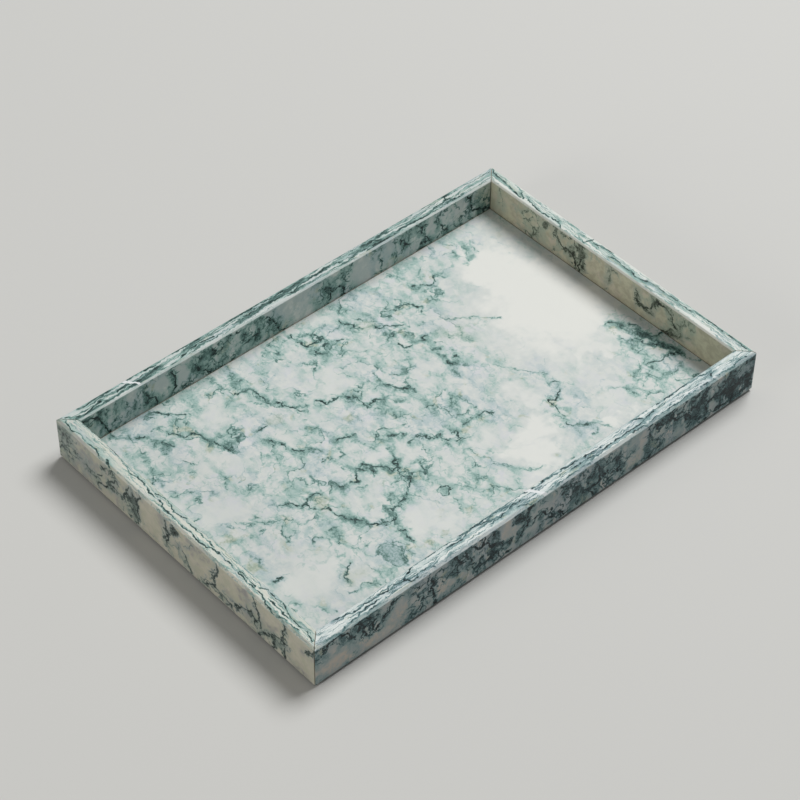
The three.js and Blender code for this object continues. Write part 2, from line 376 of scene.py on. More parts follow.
# Veins and patches of the strips, and their stretches of buff, olive and ash, in the same forms,
# along each strip and down from the rim's top
FRONT_STRONG = [
    [(-144, -5), (-140, -2.5), (-136, -2)], [(-134, -2), (-130, -5), (-127, -8), (-126, -10)],
    [(-125, -3), (-121, -3.5), (-120, -8), (-118, -12), (-117, -15)],
    [(-117, -3), (-114, -5), (-114, -14), (-112, -15), (-109, -12), (-107, -9), (-104, -7), (-101, -2)],
    [(-76, -5), (-76, -13), (-75, -20), (-75, -26)], [(-61, -2), (-60, -7), (-56, -10)],
    [(-54, -3), (-53, -9), (-51, -14)], [(-49, -4), (-46, -6), (-43, -7), (-43, -2)],
    [(-43, -5), (-40, -9), (-37, -12), (-33, -13), (-27, -16), (-24, -18)],
    [(-37, -14), (-36, -19), (-33, -20), (-31, -23)], [(-20, -5), (-18, -6), (-15, -8), (-13, -11)],
    [(-12, -1), (-12, -6), (-12, -9), (-14, -13), (-17, -17), (-20, -20)],
    [(-10, -12), (-7, -11), (-4, -12), (0, -15), (4, -18), (8, -20), (12, -23), (14, -24)],
    [(9, -2), (13, -5), (17, -7), (20, -10), (24, -14), (28, -18), (33, -24)],
    [(28, -18), (33, -18), (36, -17), (36, -10), (34, -4)], [(36, -10), (40, -15), (41, -20)],
    [(50, -12), (51, -17)], [(75, -3), (78, -5), (82, -6), (85, -7)],
    [(86, -3), (88, -8), (91, -10), (95, -11), (98, -12), (99, -16)],
    [(102, -4), (103, -11), (108, -10), (110, -6), (112, -3)], [(100, -13), (103, -17), (106, -20)],
    [(113, -15), (117, -13), (120, -11), (126, -14), (135, -18)], [(114, -16), (115, -22)],
    [(122, -22), (130, -24)], [(128, -7), (131, -2)], [(131, -7), (136, -10), (140, -13)],
    [(150, -2), (152, -8), (156, -12), (156, -18), (159, -22)],
    [(163, -1), (166, -6), (171, -8), (175, -13), (176, -20)],
    [(184, -3), (186, -9), (190, -13), (191, -20)],
]
FRONT_SOFT = [
    [(-99, -3), (-95, -5)], [(-86, -3), (-86, -10), (-82, -16), (-79, -22)], [(-92, -15), (-88, -18)],
    [(-75, -5), (-71, -10), (-66, -12), (-62, -13), (-61, -17)], [(-38, -4), (-35, -8), (-32, -10)],
    [(-31, -15), (-30, -20), (-28, -21), (-26, -20)], [(11, -8), (12, -15), (13, -17)],
    [(18, -10), (20, -17), (21, -20)], [(53, -17), (56, -16), (58, -14)],
    [(71, -3), (71, -15), (73, -25)],
]
FRONT_CLOUDS = [
    (-142, -6, 8, 4, 0.5), (-129, -4, 4, 4, 0.4), (-113, -8, 8, 7, 0.3), (-75, -12, 3, 14, 0.7),
    (-68, -11, 8, 7, 0.5), (-45, -4, 8, 4, 0.5), (-36, -15, 9, 9, 0.5), (-12, -6, 4, 6, 0.8),
    (-4, -8, 9, 6, 0.6), (2, -17, 10, 6, 0.45), (19, -9, 10, 7, 0.8), (30, -13, 10, 8, 0.9),
    (42, -14, 9, 14, 0.75), (51, -15, 5, 10, 0.6), (72, -14, 3, 16, 0.8), (82, -5, 9, 4, 0.8),
    (95, -8, 9, 7, 0.8), (105, -9, 10, 9, 1.0), (104, -17, 9, 6, 0.9), (115, -17, 5, 8, 0.6),
    (129, -17, 14, 13, 1.35), (125, -5, 10, 5, 0.75), (144, -4, 6, 4, 0.85), (144, -17, 9, 11, 1.3),
    (140, -22, 11, 6, 1.1), (113, -21, 7, 6, 0.75), (154, -11, 6, 11, 0.8), (168, -8, 8, 8, 0.7),
    (187, -11, 7, 11, 0.9),
]
FRONT_CLEAN = [
    (-138, -18, 14, 9, 1.0), (-112, -21, 14, 7, 1.0), (-98, -11, 11, 12, 0.8), (-122, -12, 8, 6, 0.6),
    (-62, -20, 6, 5, 0.8), (-25, -7, 7, 8, 0.9), (-12, -18, 6, 7, 0.7), (6, -10, 5, 8, 0.4),
    (60, -10, 9, 12, 0.35), (94, -19, 6, 6, 0.4),
]
FRONT_BUFF = [
    (-130, -19, 28, 15, 0.95), (-98, -18, 14, 13, 0.75), (-60, -19, 10, 8, 0.6), (-24, -9, 9, 9, 0.6),
    (62, -12, 10, 12, 0.5),
]

BACK_STRONG = [
    [(-134, -3), (-130, -8), (-127, -12), (-125, -17), (-124, -22), (-121, -26)],
    [(-103, -3), (-101, -8), (-97, -13), (-93, -18), (-92, -26)], [(-83, -3), (-82, -9), (-83, -16)],
    [(-70, -7), (-66, -11), (-63, -14), (-61, -18), (-57, -22), (-56, -26)],
    [(-57, -4), (-54, -9), (-50, -7)], [(-44, -2), (-37, -4), (-34, -8)],
    [(-40, -15), (-35, -13), (-28, -13)],
    [(-26, -2), (-21, -4), (-18, -7), (-15, -11), (-12, -16), (-11, -19), (-7, -23), (-6, -26)],
    [(21, -8), (23, -11), (25, -13), (27, -12), (30, -12), (32, -14), (33, -18), (36, -22), (36, -26)],
    [(24, -14), (22, -18)], [(73, -2), (75, -7), (78, -11), (80, -12)],
    [(85, -2), (89, -4), (90, -8), (93, -12), (96, -16), (97, -21), (101, -26)],
    [(89, -17), (93, -18), (98, -18)], [(102, -5), (104, -10), (105, -15), (108, -18)],
    [(124, -2), (126, -6), (126, -11), (129, -15), (134, -17), (139, -19), (143, -23), (144, -26)],
    [(151, -1), (153, -7), (157, -10), (158, -16), (162, -20), (163, -26)],
    [(157, -10), (163, -9), (167, -6), (169, -1)], [(174, -2), (175, -9), (179, -13), (180, -19)],
    [(180, -19), (185, -21), (188, -25)], [(189, -1), (190, -6), (194, -11)],
]
BACK_SOFT = [
    [(-120, -3), (-119, -10), (-118, -16)], [(-108, -8), (-107, -15)],
    [(-76, -18), (-71, -17), (-66, -17)], [(-66, -3), (-63, -8)], [(-54, -15), (-50, -17)],
    [(-22, -16), (-20, -13), (-18, -10)], [(16, -6), (17, -12), (18, -18)],
    [(58, -3), (60, -10), (60, -18)], [(69, -3), (71, -12), (70, -17)], [(80, -3), (81, -9)],
    [(115, -4), (117, -8)],
]
BACK_CLOUDS = [
    (-131, -10, 8, 14, 1.1), (-116, -8, 9, 9, 0.9), (-110, -11, 8, 10, 1.05), (-98, -12, 6, 10, 1.1),
    (-82, -9, 3, 10, 0.7), (-72, -17, 9, 4, 0.8), (-58, -9, 12, 10, 0.95), (-32, -9, 18, 11, 0.9),
    (-15, -10, 6, 10, 0.7), (4, -13, 16, 10, 0.45), (33, -6, 6, 9, 0.9), (19, -13, 5, 9, 0.9),
    (60, -9, 4, 11, 0.5), (70, -8, 4, 11, 0.5), (78, -8, 7, 9, 0.6), (90, -6, 7, 6, 0.7),
    (93, -16, 8, 5, 1.2), (104, -12, 4, 9, 0.7), (117, -6, 7, 8, 0.5), (129, -10, 8, 10, 0.8),
    (136, -12, 9, 12, 0.9), (156, -9, 7, 11, 0.8), (166, -18, 9, 7, 0.5), (177, -10, 6, 12, 0.8),
    (190, -7, 8, 9, 0.7), (-58, -23, 9, 5, 0.7), (-8, -23, 10, 5, 0.6), (35, -23, 7, 5, 0.8),
    (98, -23, 8, 5, 0.8),
]
BACK_CLEAN = [
    (-88, -9, 5, 9, 1.0), (-76, -8, 5, 8, 1.0), (-124, -7, 4, 7, 0.6), (-4, -8, 7, 8, 0.5),
    (48, -10, 9, 12, 0.6), (27, -17, 3, 3, 0.7), (98, -7, 5, 7, 0.8), (108, -12, 4, 6, 0.6),
    (65, -10, 4, 10, 0.5),
]
BACK_OLIVE = [(138, -10, 9, 14, 0.9), (118, -12, 6, 8, 0.5)]

LEFT_STRONG = [
    [(-100, -22), (-96, -17), (-93, -16)],
    [(-68, -20), (-64, -19), (-60, -17), (-58, -14), (-55, -12), (-53, -10), (-51, -7)],
    [(-67, -14), (-63, -12)], [(-62, -6), (-59, -3)], [(-55, -5), (-53, -2)],
    [(-53, -14), (-50, -14), (-47, -14), (-47, -17)], [(-47, -14), (-44, -11), (-42, -8), (-40, -3)],
    [(-31, -1), (-33, -8), (-34, -15), (-34, -24)], [(-11, -3), (-10, -12), (-11, -20)],
    [(2, -14), (4, -17), (6, -21), (7, -24)],
    [(29, -2), (28, -7), (26, -12), (26, -16), (25, -18), (23, -21), (20, -23), (17, -25)],
    [(26, -18), (29, -20), (32, -21), (36, -22), (38, -24)],
    [(42, -19), (46, -17), (50, -15), (54, -13), (55, -15), (57, -18)],
    [(58, -3), (59, -9), (60, -15), (61, -20)],
    [(59, -25), (63, -21), (68, -18), (72, -15), (76, -14), (80, -15)],
    [(76, -14), (76, -11), (77, -7), (79, -2)], [(70, -19), (70, -25)], [(78, -19), (78, -25)],
    [(94, -7), (96, -5), (99, -2)], [(106, -1), (107, -6), (110, -10), (110, -16), (113, -21)],
    [(110, -10), (116, -12), (120, -10), (124, -5)], [(131, -2), (132, -8), (135, -13), (135, -20)],
]
LEFT_SOFT = [
    [(-88, -17), (-84, -14), (-80, -12)], [(-80, -22), (-75, -18), (-72, -16)], [(-45, -20), (-46, -24)],
    [(10, -3), (8, -6), (3, -9)], [(68, -18), (73, -18), (80, -17)],
]
LEFT_CLOUDS = [
    (-92, -12, 16, 16, 0.68), (-72, -12, 14, 12, 0.52), (-60, -12, 10, 10, 0.6), (-48, -8, 8, 8, 0.5),
    (-40, -19, 6, 9, 0.85), (-38, -8, 5, 10, 0.8), (-4, -4, 7, 5, 1.1), (4, -10, 4, 8, 0.4),
    (74, -22, 5, 4, 0.6), (110, -11, 5, 10, 0.5), (133, -10, 6, 10, 0.7),
]
LEFT_CLEAN = [
    (-22, -12, 9, 14, 1.0), (15, -10, 9, 12, 1.0), (44, -8, 12, 8, 1.0), (90, -14, 9, 10, 1.0),
    (50, -20, 6, 4, 0.6),
]
# Painted shade: ash stretches that darken the far end of the left face
LEFT_PAINTED_SHADE = [(-84, -12, 28, 22, 1.0), (-54, -10, 14, 14, 0.75)]

RIGHT_STRONG = [
    [(-39, -2), (-38, -6), (-37, -9), (-34, -10), (-30, -9), (-26, -10), (-24, -13), (-23, -17)],
    [(-19, -4), (-19, -10), (-21, -17), (-20, -22), (-23, -26)],
    [(22, -6), (23, -10), (25, -13), (28, -14), (31, -11), (34, -9), (36, -5), (37, -1)],
    [(37, -2), (40, -3), (43, -4), (46, -5)], [(49, -6), (50, -9), (52, -13)],
    [(39, -25), (42, -20), (45, -18), (48, -15), (51, -15)],
    [(96, -1), (97, -7), (101, -11), (102, -17), (105, -20), (106, -26)],
    [(101, -11), (107, -10), (111, -13), (116, -12), (119, -8), (120, -2)],
    [(128, -3), (128, -9), (131, -14), (131, -20), (134, -25)],
]
RIGHT_SOFT = [
    [(-83, -1), (-81, -10)], [(-66, -7), (-63, -3)], [(-64, -12), (-60, -9), (-57, -6)],
    [(-56, -3), (-53, -8), (-53, -14)], [(-38, -6), (-39, -12), (-40, -19)], [(2, -3), (2, -12)],
    [(55, -2), (55, -16)], [(62, -1), (64, -4), (65, -6)],
]
RIGHT_CLOUDS = [
    (-86, -12, 8, 14, 0.3), (-47, -4, 4, 4, 0.9), (-28, -5, 11, 6, 0.9), (-20, -11, 5, 11, 0.85),
    (24, -11, 5, 5, 0.8), (28, -13, 6, 4, 0.7), (55, -8, 4, 12, 0.5), (58, -6, 6, 8, 0.3),
    (100, -12, 6, 12, 0.8), (117, -7, 8, 7, 0.6), (131, -13, 6, 12, 0.8),
]
RIGHT_CLEAN = [
    (-73, -10, 8, 12, 0.6), (-8, -12, 8, 14, 0.8), (12, -12, 8, 14, 1.0), (42, -11, 6, 6, 0.8),
    (76, -10, 12, 18, 1.0),
]
RIGHT_OLIVE = [(-58, -8, 12, 10, 0.9), (-86, -10, 9, 14, 0.8), (60, -6, 8, 8, 0.6)]

# Threads on the rim's top, along each strip and in from the face that its routes are on
FRONT_THREADS = [
    [(-131, 8), (-127, 6.6), (-122, 5.1), (-119, 4.8), (-115, 5.6),
     (-111, 5.1), (-105, 5.3), (-101, 4.5), (-98, 6)],
    [(-142, 0.5), (-133, 0.6), (-127, 1.8), (-121, 1.5), (-119, 3), (-115, 3.4), (-112, 2.9), (-106, 3.2)],
    [(-117, 1.1), (-111, 1.1), (-106, 0.7)],
    [(-96, 5), (-91, 4), (-88, 5.8), (-85, 6.7), (-82, 8.5), (-76, 8.4), (-62, 8), (-57, 7.4), (-52, 6.5)],
    [(-90, 4), (-88, 1.8), (-86, 1), (-84, 1.6), (-83, 3.1), (-76, 3.2), (-74, 1.2)],
    [(-62, 6), (-56, 5.4), (-50, 5.8), (-46, 8), (-42, 7), (-38, 6.4), (-34, 5.4), (-32, 4)],
    [(-52, 8.2), (-46, 7.6), (-38, 8.1), (-32, 7.3)], [(-9, 7.6), (-3, 6.8), (4, 7.4), (9, 6.4)],
    [(-30, 9), (-25, 8.4), (-20, 7.9)], [(-29, 4), (-24, 4.5), (-19, 5.2), (-14, 5)],
    [(-17, 2.6), (-12, 0.8), (-5, 0.3)],
    [(2, 8), (7, 7.3), (12, 6.5), (17, 6.7), (22, 6), (29, 5.8), (34, 5), (41, 4.9)],
    [(20, 4), (27, 3.8), (34, 2.7), (40, 2.8), (50, 3.6),
     (57, 3.4), (63, 3.2), (68, 3.5), (74, 4.6), (79, 5.7)],
    [(6, 0.6), (13, 1), (18, 1.4), (24, 1.5), (30, 0.8)], [(65, 8.5), (69, 6.4), (71, 5.1)],
    [(60, 1.3), (70, 1), (76, 1.4), (92, 1.4), (107, 1), (124, 1.5), (132, 1.2), (137, 1.8), (143, 1.6)],
    [(115, 7), (118, 6.3), (122, 6), (119, 3.5)], [(83, 7.7), (92, 7.5), (98, 7.6), (110, 8.4)],
]
BACK_THREADS = [
    [(-146, 6), (-143, 3.5), (-140, 2.5)],
    [(-139, 0.6), (-135, 2.1), (-128, 3.5), (-124, 3.2), (-121, 1.1), (-118, 1.2)],
    [(-138, 7.5), (-135, 6.5), (-121, 8), (-118, 7.1)], [(-115, 3.5), (-111, 4.5), (-107, 5)],
    [(-107, 7.5), (-100, 7), (-93, 6.5), (-88, 6)],
    [(-108, 2), (-103, 3), (-97, 3), (-93, 4), (-88, 4.8)],
    [(-82, 0.6), (-78, 1.6), (-74, 3), (-68, 3.7), (-60, 3.8), (-53, 3.6)],
    [(-76, 8), (-68, 7), (-60, 7)],
    [(-39, 8), (-30, 7), (-22, 7), (-16, 6.5), (-11, 5.8), (-6, 6.5), (0, 6), (6, 6.4), (9, 7)],
    [(-35, 4.6), (-28, 4.5), (-20, 4.5), (-12, 4), (-5, 3.5), (0, 2.7), (7, 4)],
    [(14, 5), (20, 5), (26, 5.5)], [(33, 3.5), (37, 1.5), (42, 2)], [(52, 6), (58, 5), (61, 3.5)],
    [(63, 6.4), (68, 7.2)], [(50, 2.5), (56, 2), (62, 1.5), (70, 1.4)],
    [(76, 2.6), (82, 2.5), (88, 1.7), (99, 1.6), (103, 3.2), (107, 3), (111, 4), (112, 7), (114, 8)],
    [(112, 4), (115, 2), (120, 1.6)],
]
LEFT_THREADS = [
    [(-10, 2.8), (-17, 2.9), (-21, 5), (-26, 4.2), (-30, 4.8),
     (-35, 5.9), (-42, 6.2), (-46, 5), (-49, 6.3)],
    [(-49, 6.3), (-53, 7), (-55, 8), (-60, 7.8), (-65, 8.2), (-68, 8.8)],
    [(86, 2.5), (80, 2), (74, 1), (67, 0.8), (64, 1), (60, 2.4), (56, 3.8), (51, 3.6), (46, 3.3), (42, 4)],
    [(42, 4), (37, 3.5), (33, 4.2), (27, 4.8), (20, 4.6),
     (18, 3), (14, 2.4), (9, 2.2), (5, 2.7), (-10, 2.8)],
    [(-80, 8.4), (-88, 8.5), (-92, 8.6), (-95, 7)], [(-56, 0.5), (-60, 1.8)],
    [(-64, 0.6), (-67, 2), (-71, 2.7), (-79, 2.2), (-83, 3), (-86, 1.5), (-90, 1.3), (-94, 2), (-97, 4)],
    [(-3, 7), (-8, 5.6), (-13, 5.5), (-15, 7), (-21, 7.3), (-26, 6.4)],
    [(20, 5.6), (14, 6), (6, 6), (0, 6.3)], [(52, 4.5), (47, 5), (42, 5.3), (38, 4.5)],
    [(95, 3), (90, 4.7), (84, 4.6), (77, 5), (73, 6.4), (68, 7.8), (62, 7.2), (58, 8), (54, 6)],
    [(78, 3.4), (70, 4), (62, 4.5)],
]
RIGHT_THREADS = [
    [(-98, 8), (-95, 5.5), (-92, 5), (-86, 4.7), (-80, 4), (-74, 3), (-70, 2.3)],
    [(-72, 5.5), (-70, 3.5), (-68, 2.6)], [(-65, 4), (-63, 2.6), (-58, 2), (-53, 2), (-48, 2.2)],
    [(-46, 2.8), (-41, 3.6), (-39, 2.5), (-37, 0.5)], [(-25, 3.2), (-20, 1.5), (-19, 4), (-18, 7.5)],
    [(-16, 5.5), (-13, 5), (-12, 7), (-9, 7), (-3, 7.5)],
    [(-3, 4), (0, 5), (4, 4.3), (8, 3.8), (13, 4.4), (17, 3.2), (20, 3.2), (24, 4.6), (29, 6)],
    [(33, 5.5), (38, 5.5), (44, 6.3), (50, 5.4), (56, 5.9)], [(78, 7), (72, 7.3), (65, 7), (58, 6.7)],
    [(97, 6.6), (92, 6.2), (88, 6.8), (82, 7.2)],
]

# White quartz bands across the top of two strips, in the same form
FRONT_QUARTZ = [[(-1.2, 0), (-7.5, 9)]]
BACK_QUARTZ = [[(-101.7, 0), (-109.3, 9)]]


class Places:
    """Where a point of a stone is, in millimetres, as its patterns see it."""

    def __init__(self, graph, slab, seed):
        along, up, inward, origin = slab
        offset = graph.vector("SUBTRACT", graph.add("ShaderNodeTexCoord").outputs["Object"], origin)
        local = graph.scale(offset, 1 / MM)
        run = graph.dot(local, along)
        rise = graph.dot(local, up)
        depth = graph.dot(local, inward)
        met = graph.combine(graph.math("ADD", run, graph.times(depth, VEIN_LEAN)), rise, 0.0)

        # Along the slab, up its face and in; then with its beds spread, and bent by noise
        self.place = graph.combine(run, rise, depth)
        self.beds = graph.shift(graph.stretch(self.place, (1.0, 1.0, BEDDING)), seed)
        broad_push = graph.push(self.beds, size=22.0, reach=14.0)
        small_push = graph.push(self.beds, size=6.0, reach=7.0)
        fine_push = graph.shift(small_push, graph.push(self.beds, size=2.0, reach=3.2, detail=3.0))
        patch_push = graph.shift(broad_push, graph.push(self.beds, size=5.0, reach=10.0, detail=3.0))
        self.bent = graph.shift(self.beds, broad_push)
        self.drift = graph.shift(self.beds, graph.push(self.beds, size=7.0, reach=6.0))
        self.ragged = graph.shift(self.beds, fine_push)

        # On the face, where the bed through the point comes out: bent softly, and ragged
        self.soft_face = graph.stretch(graph.shift(met, patch_push), IN_PLANE)
        self.face = graph.stretch(graph.shift(met, fine_push), IN_PLANE)

        # On the cut edge, along it and in
        edge_push = graph.push(self.place, size=9.0, reach=2.4)
        wander = graph.shift(edge_push, graph.push(self.place, size=2.4, reach=2.8, detail=3.0))
        self.edge = graph.stretch(graph.shift(graph.combine(run, depth, 0.0), wander), IN_PLANE)


def new_group(name, inputs, outputs):
    """The graph of a new node group with the named sockets, vectors or numbers, and what it is given."""
    tree = bpy.data.node_groups.new(name, "ShaderNodeTree")
    for way, sockets in (("INPUT", inputs), ("OUTPUT", outputs)):
        for socket in sockets:
            kind = "NodeSocketVector" if socket == "Place" else "NodeSocketFloat"
            tree.interface.new_socket(socket, in_out=way, socket_type=kind)
    graph = Graph(tree)
    return graph, graph.add("NodeGroupInput").outputs


def route_group(route):
    """A group that lowers two distances to those of one route: to its line, and to the haze beside it."""
    graph, given = new_group("route", ("Place", "To vein", "To haze"), ("To vein", "To haze"))
    to_vein, to_haze = given["To vein"], given["To haze"]
    for start, end in zip(route, route[1:]):
        start = Vector((*start, 0.0))
        step = Vector((*end, 0.0)) - start
        left = Vector((-step.y, step.x, 0.0)).normalized()
        offset = graph.vector("SUBTRACT", given["Place"], start)
        share = graph.clamp(graph.dot(offset, step / step.length_squared))
        distance = graph.measure("DISTANCE", offset, graph.scale(step, share))
        to_vein = graph.math("MINIMUM", distance, to_vein)
        to_left = graph.dot(offset, left * LEFT_STEEPNESS)
        to_haze = graph.math("MINIMUM", graph.larger(distance, to_left), to_haze)
    graph.add("NodeGroupOutput", {"To vein": to_vein, "To haze": to_haze})
    return graph.tree


def route_distances(graph, place, routes):
    """How far a place is from the nearest of the routes, and from the haze beside it."""
    inner, given = new_group("routes", ("Place",), ("To vein", "To haze"))
    to_vein = to_haze = FAR
    for route in routes:
        inputs = {"Place": given["Place"], "To vein": to_vein, "To haze": to_haze}
        node = inner.add("ShaderNodeGroup", inputs, node_tree=route_group(route))
        to_vein, to_haze = node.outputs["To vein"], node.outputs["To haze"]
    inner.add("NodeGroupOutput", {"To vein": to_vein, "To haze": to_haze})
    node = graph.add("ShaderNodeGroup", {"Place": place}, node_tree=inner.tree)
    return node.outputs["To vein"], node.outputs["To haze"]


def spot_reach(graph, place, x, y, half_length, half_width):
    """How far a place is from the middle of a spot, in half sizes of the spot."""
    offset = graph.vector("SUBTRACT", place, (x, y, 0.0))
    return graph.measure("LENGTH", graph.stretch(offset, (1 / half_length, 1 / half_width, 0.0)))


def patches(graph, place, spots):
    """The strength of the strongest spot that covers a place, eased to 0 at the margin of each."""
    inner, given = new_group("patches", ("Place",), ("Strength",))
    strongest = 0.0
    for *spot, strength in spots:
        reach = spot_reach(inner, given["Place"], *spot)
        strongest = inner.larger(inner.span(reach, SPOT_MARGIN, SPOT_HEART, most=strength), strongest)
    inner.add("NodeGroupOutput", {"Strength": strongest})
    return graph.add("ShaderNodeGroup", {"Place": place}, node_tree=inner.tree).outputs["Strength"]


def lenses(graph, place, feather, spots):
    """Small feathered spots of green, each with its own strength inside and round its border."""
    tone = graph.span(feather, none=0.0, full=1.0, least=0.7, most=1.25)
    amount = 0.0
    for *spot, inside, edge in spots:
        reach = spot_reach(graph, place, *spot)
        body = graph.span(reach, none=1.25, full=0.6, most=inside)
        border = graph.span(graph.apart(reach, LENS_BORDER), none=0.3, full=0.0, most=edge)
        amount = graph.larger(graph.larger(body, border), amount)
    return graph.times(amount, tone)


def fronts(graph, place, size, dark, trail):
    """Lines where noise passes its middle, dark on the line with a trail of haze behind it."""
    swell = graph.lumps(place, size, detail=2.0, roughness=0.5)
    behind = graph.span(swell, none=0.36, full=NOISE_MIDDLE, most=trail)
    haze = graph.times(behind, graph.span(swell, none=0.51, full=NOISE_MIDDLE))
    line = graph.span(graph.apart(swell, NOISE_MIDDLE), none=LINE_SPREAD / size, full=0.0, most=dark)
    return graph.math("ADD", haze, line)


def face_green(graph, at, stone, open_map):
    """How green a place is by the haze and veins that lie on the slab's face."""
    cloud_map = patches(graph, at.soft_face, stone["clouds"])
    to_soft, _ = route_distances(graph, at.face, stone["soft"])
    to_strong, to_haze = route_distances(graph, at.face, stone["strong"])

    # Haze: feathered strokes that lean up the slab, about the veins and in the clouds
    turn = {"Vector": at.drift, "Angle": STROKE_TURN}
    turned = graph.add("ShaderNodeVectorRotate", turn, rotation_type="Z_AXIS").outputs["Vector"]
    strokes = graph.lumps(graph.stretch(turned, STROKE_STRETCH), size=7.0, detail=5.0, roughness=0.58)
    feather = graph.span(strokes, none=stone["sparse"], full=stone["dense"])
    to_any = graph.math("MINIMUM", to_soft, to_strong)
    by_veins = graph.span(to_any, none=stone["reach"], full=1.0, most=stone["haze"])
    between = graph.larger(by_veins, stone["mist"])
    hazy = graph.larger(graph.times(between, open_map), cloud_map)
    amount = graph.times(graph.times(hazy, feather), stone["depth"])

    # Nets of finer veins that fade in and out
    fading = graph.lumps(graph.shift(at.beds, NET_SHIFT), size=14.0)
    fade = graph.span(fading, none=0.42, full=0.6, most=stone["net"])
    net = fronts(graph, at.ragged, size=24.0, dark=0.6, trail=0.24)
    amount = graph.screen(amount, graph.times(net, graph.times(fade, open_map)))

    # Main veins, thinned and broken by noise, the strong ones with a halo on their right
    broken = graph.lumps(at.beds, size=5.5)
    breaks = graph.span(broken, none=0.34, full=0.54, least=stone["steady"])
    feathered = graph.span(feather, none=0.0, full=0.8, least=0.1, most=stone["halo"])
    amount = graph.screen(amount, graph.times(graph.span(to_haze, none=7.0, full=0.0), feathered))
    for to_vein, share, dark in ((to_soft, SOFT_WIDTH, SOFT_DARKNESS), (to_strong, 1.0, 1.0)):
        width = stone["vein"] * share
        core = graph.span(to_vein, none=width, full=width * VEIN_CORE, most=stone["dark"] * dark)
        skirt = graph.span(to_vein, none=2.6, full=0.3, most=stone["skirt"] * share)
        amount = graph.larger(graph.times(core, breaks), graph.screen(amount, skirt))

    # Fine strands in the thick of the haze
    thick = graph.larger(hazy, graph.span(to_haze, none=8.0, full=0.0))
    thick = graph.times(graph.span(thick, none=0.25, full=0.8), breaks)
    strand_place = graph.shift(at.ragged, STRAND_SHIFT)
    strands = fronts(graph, strand_place, size=8.0, dark=stone["strands"], trail=0.08)
    amount = graph.screen(amount, graph.times(strands, thick))
    if "lenses" in stone:
        amount = graph.larger(lenses(graph, at.soft_face, feather, stone["lenses"]), amount)
    return amount


def edge_green(graph, at, stone):
    """How green a place is on a cut edge, where the beds show end on as threads along the slab."""
    to_thread, to_haze = route_distances(graph, at.edge, stone["threads"])
    drawn = graph.stretch(graph.shift(at.edge, stone["seed"]), THREAD_STRETCH)
    swell = graph.lumps(drawn, size=2.2, roughness=0.6)
    streaky = graph.span(swell, none=0.35, full=0.62, least=0.04, most=stone["edge_haze"])
    haze = graph.times(graph.span(to_haze, none=4.0, full=0.3), streaky)
    tint = graph.span(swell, none=0.44, full=0.68, most=stone["tint"])
    streaks = graph.span(graph.apart(swell, NOISE_MIDDLE), none=0.045, full=0.0, most=stone["streaks"])
    breaks = graph.span(graph.lumps(at.place, size=5.0), none=0.36, full=0.56, least=0.4)
    threads = graph.times(graph.span(to_thread, none=stone["thread"], full=0.0, most=1.15), breaks)
    return graph.larger(graph.screen(graph.screen(haze, tint), streaks), threads)


def ground_colour(graph, at, stone, clean_map, broad):
    """Two near colours in soft stretches, a tint that on the left strip is also painted shade, and a
    mottle, all but the first kept off the cleanest.
    """
    pure = graph.span(graph.times(clean_map, stone["pure"]), none=0.45, full=1.0)
    impure = graph.rest(pure)
    wash = graph.times(graph.span(broad, none=0.3, full=0.55, least=stone["wash"]), impure)
    colour = graph.mix(wash, stone["ground"], stone["shade"])
    blushing = graph.lumps(graph.shift(at.bent, BLUSH_SHIFT), size=13.0)
    blush_and_painted_shade = graph.span(blushing, none=0.48, full=0.68)
    if "blush_and_painted_shade_spots" in stone:
        blush_and_painted_shade = graph.larger(patches(graph, at.soft_face, stone["blush_and_painted_shade_spots"]), blush_and_painted_shade)
    colour = graph.mix(graph.times(blush_and_painted_shade, impure), colour, stone["blush_and_painted_shade"])
    mottling = graph.lumps(graph.shift(at.drift, MOTTLE_SHIFT), size=4.5, detail=5.0, roughness=0.65)
    mottle = graph.span(mottling, none=0.38, full=0.64)
    return graph.mix(graph.times(mottle, impure), colour, stone["mottle"])


def green_colour(graph, at, stone, broad, colour, greens, amount):
    """A ground colour taken through the greens by the amount of green, which is speckled."""
    grain = graph.lumps(at.ragged, size=1.1, roughness=0.7)
    amount = graph.times(amount, graph.span(grain, none=0.32, full=0.68, least=0.74, most=1.2))
    pale_green, pale_blue, *deeper_greens = greens
    pale = graph.mix(graph.span(broad, none=0.5, full=0.62), pale_green, pale_blue)
    olive = graph.span(graph.lumps(at.bent, size=11.0, detail=2.0), none=0.6, full=0.7)
    if "olive" in stone:
        olive_map = patches(graph, at.soft_face, stone["olive"])
        olive = graph.larger(olive, olive_map)
        amount = graph.larger(amount, graph.times(olive_map, OLIVE_AMOUNT))
    pale = graph.mix(olive, pale, OLIVE)
    for (none, full), green in zip(GREEN_STEPS, (pale, *deeper_greens)):
        colour = graph.mix(graph.span(amount, none, full), colour, green)
    return colour


def honed_skin(graph, at, shader):
    """A weak soft sheen that varies, with a fine tooth."""
    sheen = graph.lumps(at.beds, size=5.0)
    roughness = graph.span(sheen, none=0.3, full=0.7, least=0.38, most=0.52)
    grain = graph.lumps(at.place, size=0.9, detail=4.0, roughness=0.6)
    tooth = graph.bump(grain, strength=0.2, distance=0.04 * MM)
    graph.feed(shader, {"Specular IOR Level": HONED_SPECULAR, "Roughness": roughness, "Normal": tooth})


